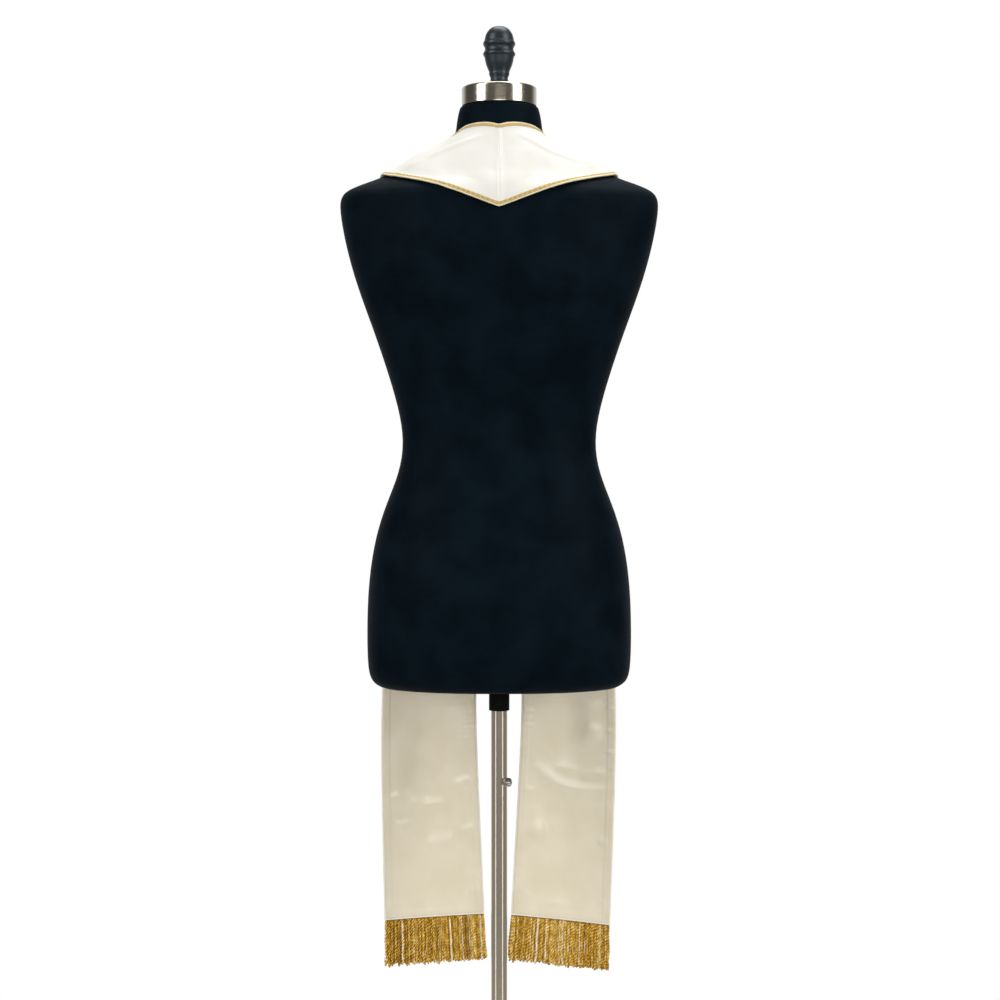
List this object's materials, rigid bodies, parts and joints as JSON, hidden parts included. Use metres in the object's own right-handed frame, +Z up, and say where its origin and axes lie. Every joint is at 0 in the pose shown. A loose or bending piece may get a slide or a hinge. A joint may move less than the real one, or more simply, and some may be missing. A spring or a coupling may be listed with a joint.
{
  "type": "clergy stole on a limbless dress form with a pole stand",
  "caption": "Long satin clergy stole with braided edges and bullion fringe, worn on a limbless dress form with a pole stand.",
  "frame": {"origin": "on the floor, at the centre of the round base plate's underside, on the pole's axis", "axes": "+Z up along the pole; the form's chest faces -Y and its back faces +Y; the wearer's left is +X"},
  "size_m": [0.3988, 0.35, 1.5856],
  "materials": {
    "face_satin": "satin",
    "lining_satin": "satin",
    "gold_braid": "satin",
    "gold_bullion": "satin",
    "form_jersey": "matte",
    "base_board": "matte",
    "turned_black": "satin",
    "brushed_nickel": "satin",
    "polished_nickel": "polished",
    "stand_steel": "satin"
  },
  "bodies": {
    "stand": {"base_plate": "stand_steel", "base_socket": "stand_steel"},
    "mast": {"pole_mast": "stand_steel"},
    "form": {"form_shell": "form_jersey", "form_base_board": "base_board", "neck_cap": "brushed_nickel", "neck_finial": "turned_black", "pole_collar": "turned_black", "pole_sleeve": "brushed_nickel", "lining_left": "lining_satin", "band_left": "face_satin", "braid_inner_left": "gold_braid", "braid_outer_left": "gold_braid", "fringe_left": "gold_bullion", "lining_right": "lining_satin", "band_right": "face_satin", "braid_inner_right": "gold_braid", "braid_outer_right": "gold_braid", "fringe_right": "gold_bullion"},
    "lock_screw": {"lock_screw": "polished_nickel"}
  },
  "joints": [
    {"name": "mast_swivel", "type": "hinge", "parent": "stand", "child": "mast", "pos_m": [0, 0, 0.04], "axis": [0, 0, 1], "continuous": true},
    {"name": "height_slide", "type": "slide", "parent": "mast", "child": "form", "axis": [0, 0, 1], "range_m": [-0.2, 0.2]},
    {"name": "lock_screw_turn", "type": "hinge", "parent": "form", "child": "lock_screw", "pos_m": [-0.0106, 0.0106, 0.644], "axis": [-0.7071, 0.7071, 0], "range_deg": [0, 360]}
  ]
}
